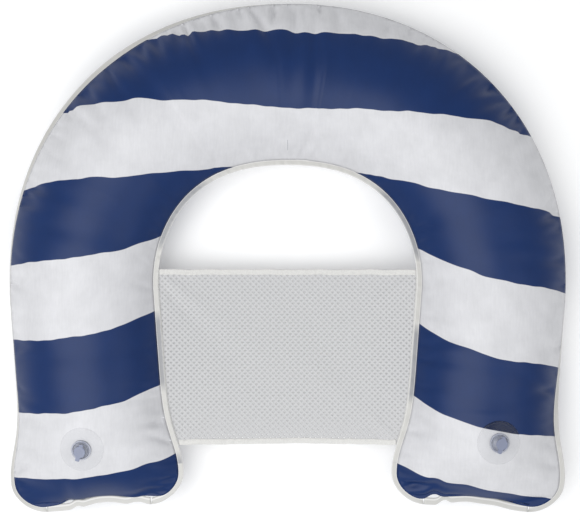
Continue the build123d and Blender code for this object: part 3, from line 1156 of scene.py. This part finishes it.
class FLOAT_OT_sling(bpy.types.Operator):
    """Build the perforated mesh sling with its hems, stitches and tapes"""

    bl_idname = "pool_float.sling"
    bl_label = "Mesh sling"

    def execute(self, context):
        shape, sling = context.scene.float_shape, context.scene.float_sling
        low_y, high_y = SLING_LOW.y, SLING_HIGH.y
        tape_material = woven_yarn("woven_polyester_binding", "#dddcd9", 2.2 * MM, 0.16)
        for end in ("top", "bottom"):
            self.hem(shape, sling, end, tape_material)
            self.stitches(shape, sling, end)
        for side, sign in SIDES.items():
            self.tape(shape, side, sign, tape_material)
        mesh, area = self.mesh(shape, sling, low_y, high_y)
        return {"FINISHED"}

    def mesh(self, shape, sling, low_y, high_y):
        """Diamond cells that tile the sheet, half a cell aside in each next row. Each has an
        eight-sided hole: eight quads join the hole's corners to the cell's corners and the
        middles of its sides. Cells are clipped to the sling's edges."""
        pitch, rows = sling.hole_pitch, sling.row_pitch
        across = np.arange(-25, 26)
        count = int(round((high_y - low_y) / rows))
        down = np.arange(count + 1)
        i, j = np.meshgrid(across, down, indexing="ij")
        centre = np.stack([(i + 0.5 * (j % 2)) * pitch, low_y + j * rows], -1).reshape(-1, 2)
        edge = half_gap(shape, np.clip(centre[:, 1], low_y, high_y)) + 4 * MM
        centre = centre[np.abs(centre[:, 0]) < edge + 0.2 * pitch]
        turn = np.arange(8) * math.pi / 4
        ring = np.stack([np.cos(turn), np.sin(turn)], -1)
        diamond = ring.copy()
        diamond[1::2] = np.sign(diamond[1::2]) * 0.5
        outer = centre[:, None] + diamond * (pitch / 2, rows)
        inner = centre[:, None] + ring * (sling.hole_radius, sling.hole_radius * 0.86)
        plan = np.stack([outer, inner], 1).reshape(-1, 2)
        keys = np.round(plan / (0.05 * MM)).astype(np.int64)
        _, first, number = np.unique(keys, axis=0, return_index=True, return_inverse=True)
        number = number.reshape(-1, 16)
        flat = plan[first]
        y = np.clip(flat[:, 1], low_y, high_y)
        reach = half_gap(shape, y) + 4 * MM
        x = np.clip(flat[:, 0], -reach, reach)
        a = np.arange(8)
        b = (a + 1) % 8
        faces = np.stack([number[:, a], number[:, b], number[:, 8 + b], number[:, 8 + a]], -1)
        faces = faces.reshape(-1, 4)
        spot = np.stack([x, y], -1)
        size = np.abs(
            np.cross(spot[faces[:, 2]] - spot[faces[:, 0]], spot[faces[:, 3]] - spot[faces[:, 1]])
        )
        faces = faces[size > 1e-8]
        points = np.stack([x, y, sling_level(shape, sling, x, y) - 0.1 * MM], -1)
        faces = facing(points, faces, (0, 0, 1))
        normals = np.tile([0.0, 0.0, 1.0], (len(points), 1))
        points, faces, flat, normals = drop_loose(points, faces, np.stack([x, y], -1), normals)
        sheet = closed_sheet(points, normals, faces, flat, sling.thickness)
        item = make_mesh("sling_mesh_cloth", *sheet)
        material = woven_yarn("knitted_polyester_mesh", "#cacacb", 1.6 * MM, 0.12)
        finish_piece(item, material, "float", ["sling_mesh"])
        y_line = np.linspace(low_y, high_y, 80)
        widths = 2 * (half_gap(shape, y_line) + 4 * MM)
        return item, float(widths.mean() * (high_y - low_y)) * 1.01

    def hem(self, shape, sling, end, material):
        """Binding folded over the free edge: a flat rounded ring as deep as its CAD node, carried
        from one leg to the other at the sling's own height, with small crinkles."""
        low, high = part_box(f"sling_{end}_hem")
        middle, deep = (low.y + high.y) / 2, (high.y - low.y) / 2
        reach = min(abs(low.x), abs(high.x)) - 0.3 * MM
        x = np.linspace(-reach, reach, 241)
        around = 28
        turn = np.linspace(0, 2 * np.pi, around, endpoint=False)
        wide = np.sign(np.cos(turn)) * np.abs(np.cos(turn)) ** 0.45
        high_part = np.sign(np.sin(turn)) * np.abs(np.sin(turn)) ** 0.6
        rng = np.random.default_rng(61 if end == "top" else 62)
        crinkle = smooth(rng.normal(size=len(x)), 2)
        drift = smooth(rng.normal(size=len(x)), 30) * 3.0
        half_thick = 1.45 * MM + 0.5 * MM * crinkle[:, None] * np.cos(turn) ** 2
        y = middle + deep * wide + 0.35 * MM * drift[:, None] + 0.25 * MM * crinkle[:, None]
        level = sling_level(shape, sling, x, np.full_like(x, middle)) - 0.5 * MM
        z = level[:, None] + half_thick * high_part + 0.3 * MM * crinkle[:, None]
        points = np.stack([np.repeat(x[:, None], around, 1), y, z], -1).reshape(-1, 3)
        faces = grid_faces(len(x), around, wrap=True)
        points, faces = capped(points, faces, around)
        item = make_mesh(f"sling_{end}_hem_binding", points, faces)
        outward(item)
        return finish_piece(item, material, "float", [f"sling_{end}_hem"])

    def stitches(self, shape, sling, end):
        """Lockstitches along the hem: short bent threads, each a six-sided tube of five rings
        whose middle stands up from the cloth, repeated every 4 mm."""
        low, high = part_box(f"sling_{end}_hem")
        inner_edge = low.y + 2.4 * MM if end == "top" else high.y - 2.4 * MM
        reach = min(abs(low.x), abs(high.x)) - 6 * MM
        starts = np.arange(-reach, reach, 4.2 * MM)
        step = np.linspace(0, 1, 5)
        all_points, all_faces, offset = [], [], 0
        for x0 in starts:
            x = x0 + step * 3.0 * MM
            y = np.full(5, inner_edge)
            z = sling_level(shape, sling, x, y) + (0.75 + 0.35 * np.sin(step * math.pi)) * MM
            path = np.stack([x, y, z], -1)
            points, faces = tube(path, (0.25 + 0.2 * np.sin(step * math.pi)) * MM, 6)
            points, faces = capped(points, faces, 6)
            all_points.append(points)
            all_faces += [[k + offset for k in face] for face in faces]
            offset += len(points)
        item = make_mesh(f"sling_{end}_hem_stitches", np.concatenate(all_points), all_faces)
        outward(item)
        thread = bpy.data.materials.get("polyester_thread") or woven_yarn(
            "polyester_thread", "#e2e1de", 0.8 * MM, 0.1
        )
        return finish_piece(item, thread, "float")

    def tape(self, shape, side, sign, material):
        """Woven tape under the flange with a rolled bead along its free edge: a flat ring 8.6 mm
        wide carried along the gap's edge, its free side swollen to a bead."""
        low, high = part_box(f"{side}_sling_tape")
        y = np.linspace(low.y, high.y, 121)
        gap = half_gap(shape, y)
        around = 20
        turn = np.linspace(0, 2 * np.pi, around, endpoint=False)
        across = np.cos(turn)
        bead = np.clip(-across, 0, 1) ** 2
        x = gap[:, None] + 3.1 * MM + 4.3 * MM * across
        z = (low.z + high.z) / 2 + np.sin(turn) * (0.5 * MM + 0.45 * MM * bead) - 0.35 * MM * bead
        points = np.stack(
            [sign * x, np.repeat(y[:, None], around, 1), np.broadcast_to(z, x.shape)], -1
        ).reshape(-1, 3)
        points, faces = capped(points, grid_faces(len(y), around, wrap=True), around)
        item = make_mesh(f"{side}_sling_tape_strip", points, faces)
        outward(item)
        return finish_piece(item, material, "float", [f"{side}_sling_tape"])


def outward(item):
    """Turns a closed mesh's faces outwards."""
    work = bmesh.new()
    work.from_mesh(item.data)
    bmesh.ops.recalc_face_normals(work, faces=work.faces)
    work.to_mesh(item.data)
    work.free()


class FLOAT_OT_valves(bpy.types.Operator):
    """Build each valve's weld disc and give the moulded parts their vinyl"""

    bl_idname = "pool_float.valves"
    bl_label = "Air valves"

    def execute(self, context):
        shape, fabric = context.scene.float_shape, context.scene.float_fabric
        disc_vinyl = weld_disc_vinyl(fabric)
        cap_vinyl = soft_vinyl("moulded_cap_vinyl", "#848ca6", 0.25, 0.22)
        stem_vinyl = soft_vinyl("moulded_stem_vinyl", "#c9cddb", 0.5, 0.2)
        _, points, cloth = inflated_covers(shape, fabric)["upper"]
        for side in SIDES:
            self.disc(side, points, cloth, disc_vinyl)
            self.skirt(side, stem_vinyl)
            for part in ("ring", "stem", "flap", "cap"):
                node = frame["nodes"][f"{side}_valve_{part}"]
                node.data.materials.clear()
                node.data.materials.append(cap_vinyl if part == "cap" else stem_vinyl)
        return {"FINISHED"}

    def disc(self, side, cover, cloth, material):
        """Polar grid round the valve: each point is dropped along the valve's axis on to a
        smooth surface fitted to the cover, and stands 0.75 mm above it."""
        centre, normal, out = valve_frame(side)
        aside = np.cross(normal, out)
        flat, print_flat = cover.reshape(-1, 3), cloth.reshape(-1, 2)
        near = np.linalg.norm(flat - centre, axis=1) < PATCH_RADIUS * 1.35
        flat, print_flat = flat[near], print_flat[near]
        offset = flat - centre
        u, v, h = offset @ out, offset @ aside, offset @ normal
        # Height and print are polynomials of the fourth degree, fitted by least squares
        powers = [(p, q) for p in range(5) for q in range(5 - p)]
        scaled = np.stack([u, v], -1) / PATCH_RADIUS
        terms = np.stack([scaled[:, 0] ** p * scaled[:, 1] ** q for p, q in powers], -1)
        fit = np.linalg.lstsq(terms, np.stack([h, *print_flat.T], -1), rcond=None)[0]
        radius = np.linspace(PORT_RADIUS + 0.4 * MM, PATCH_RADIUS, 22)
        turn = np.linspace(0, 2 * np.pi, 97)[:-1]
        r, a = np.meshgrid(radius, turn, indexing="ij")
        us, vs = r * np.cos(a) / PATCH_RADIUS, r * np.sin(a) / PATCH_RADIUS
        terms = np.stack([us.ravel() ** p * vs.ravel() ** q for p, q in powers], -1)
        found = terms @ fit
        rim = np.clip((r.ravel() - (PATCH_RADIUS - 3 * MM)) / (1.5 * MM), 0, 1)
        lift = (0.75 + 0.35 * rim * np.clip((PATCH_RADIUS - r.ravel()) / MM, 0, 1)) * MM
        height = found[:, 0] + lift
        points = (
            centre
            + (us.ravel() * PATCH_RADIUS)[:, None] * out
            + (vs.ravel() * PATCH_RADIUS)[:, None] * aside
            + height[:, None] * normal
        )
        faces = facing(points, grid_faces(len(radius), len(turn), wrap=True), normal)
        normals = np.tile(normal, (len(points), 1))
        sheet = closed_sheet(points, normals, faces, found[:, 1:], 0.5 * MM)
        item = make_mesh(f"{side}_valve_weld_disc", *sheet)
        finish_piece(item, material, "float", [f"{side}_valve_patch"])

    def skirt(self, side, material):
        """Soft pleated skirt from the weld disc up to the stem: its radius falls steadily towards
        the stem and its height carries three shallow ribs."""
        centre, normal, out = valve_frame(side)
        aside = np.cross(normal, out)
        share = np.linspace(0, 1, 29)
        turn = np.linspace(0, 2 * np.pi, 65)[:-1]
        radius = (12.7 - 5.9 * share**0.9) * MM
        height = (0.6 + 6.4 * share**1.15 + 0.35 * np.sin(share * 6 * np.pi)) * MM
        spoke = np.cos(turn)[:, None] * out + np.sin(turn)[:, None] * aside
        points = centre + radius[:, None, None] * spoke + (height[:, None] * normal)[:, None]
        slope = grid_normals(np.concatenate([points, points[:, :1]], 1))[:, :-1]
        slope *= np.sign((slope @ normal).mean())
        flat = points.reshape(-1, 3)
        faces = facing(flat, grid_faces(len(share), len(turn), wrap=True), normal)
        uv = np.zeros((len(flat), 2))
        sheet = closed_sheet(flat, slope.reshape(-1, 3), faces, uv, 0.5 * MM)
        item = make_mesh(f"{side}_valve_skirt", *sheet)
        item.data.materials.append(material)
        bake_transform(item)


SENSOR_WIDTH = 36.0  # millimetres, as the lens is
VIEW_CENTRE = (4 * MM, -4 * MM)


class FLOAT_OT_stage(bpy.types.Operator):
    """Set the floor, the soft lights and the camera"""

    bl_idname = "pool_float.stage"
    bl_label = "Stage"

    def execute(self, context):
        stage = context.scene.float_stage
        scene = context.scene
        scene.view_settings.view_transform = "Standard"
        span = np.linspace(-6, 6, 13)
        x, y = np.meshgrid(span, span, indexing="ij")
        points = np.stack([x, y, np.full_like(x, -0.4 * MM)], -1).reshape(-1, 3)
        faces = facing(points, grid_faces(13, 13), (0, 0, 1))
        floor = make_mesh("studio_floor", points, faces)
        floor.data.materials.append(studio_paper())
        floor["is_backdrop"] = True
        world = bpy.data.worlds.new("soft_studio")
        scene.world = world
        world.use_nodes = True
        background = world.node_tree.nodes["Background"]
        background.inputs["Color"].default_value = (0.97, 0.985, 1.0, 1)
        background.inputs["Strength"].default_value = stage.ambient
        low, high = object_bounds()
        middle = (low + high) / 2
        self.lamp("key_softbox", middle + Vector((-0.75, -0.5, 2.1)), middle, 2.4, stage.key)
        self.lamp("fill_softbox", middle + Vector((1.3, -0.6, 1.6)), middle, 1.2, stage.key * 0.12)
        camera_data = bpy.data.cameras.new("camera")
        camera_data.lens = stage.lens
        camera_data.sensor_width = SENSOR_WIDTH
        camera = bpy.data.objects.new("camera", camera_data)
        context.collection.objects.link(camera)
        distance = stage.view_width * stage.lens / SENSOR_WIDTH
        camera.location = (*VIEW_CENTRE, SEAM_LEVEL + distance)
        camera_data.clip_end = 50
        scene.camera = camera
        return {"FINISHED"}

    def lamp(self, name, place, aim, size, power):
        """A square soft light of a given side, turned to look at a point."""
        data = bpy.data.lights.new(name, "AREA")
        data.size, data.energy = size, power
        item = bpy.data.objects.new(name, data)
        item.location = place
        item.rotation_euler = (aim - place).to_track_quat("-Z", "Y").to_euler()
        bpy.context.collection.objects.link(item)


class FLOAT_PT_panel(bpy.types.Panel):
    """Buttons that build the float's pieces one by one"""

    bl_idname = "FLOAT_PT_panel"
    bl_label = "Pool float"
    bl_space_type = "VIEW_3D"
    bl_region_type = "UI"
    bl_category = "Pool float"

    def draw(self, context):
        for operator in OPERATORS:
            self.layout.operator(operator.bl_idname)


SETTINGS = {
    "float_shape": FloatShape,
    "float_fabric": StripedFabric,
    "float_sling": SlingSettings,
    "float_stage": StageSettings,
}
OPERATORS = (
    FLOAT_OT_covers,
    FLOAT_OT_divider,
    FLOAT_OT_flange,
    FLOAT_OT_sling,
    FLOAT_OT_valves,
    FLOAT_OT_stage,
)


def register():
    for group in (*SETTINGS.values(), *OPERATORS, FLOAT_PT_panel):
        bpy.utils.register_class(group)
    for name, group in SETTINGS.items():
        setattr(bpy.types.Scene, name, PointerProperty(type=group))


def unregister():
    for name in SETTINGS:
        delattr(bpy.types.Scene, name)
    for group in reversed((*SETTINGS.values(), *OPERATORS, FLOAT_PT_panel)):
        bpy.utils.unregister_class(group)


def main():
    """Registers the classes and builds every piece."""
    register()
    for operator in OPERATORS:
        getattr(bpy.ops.pool_float, operator.bl_idname.split(".")[1])()


if __name__ == "__main__":
    main()
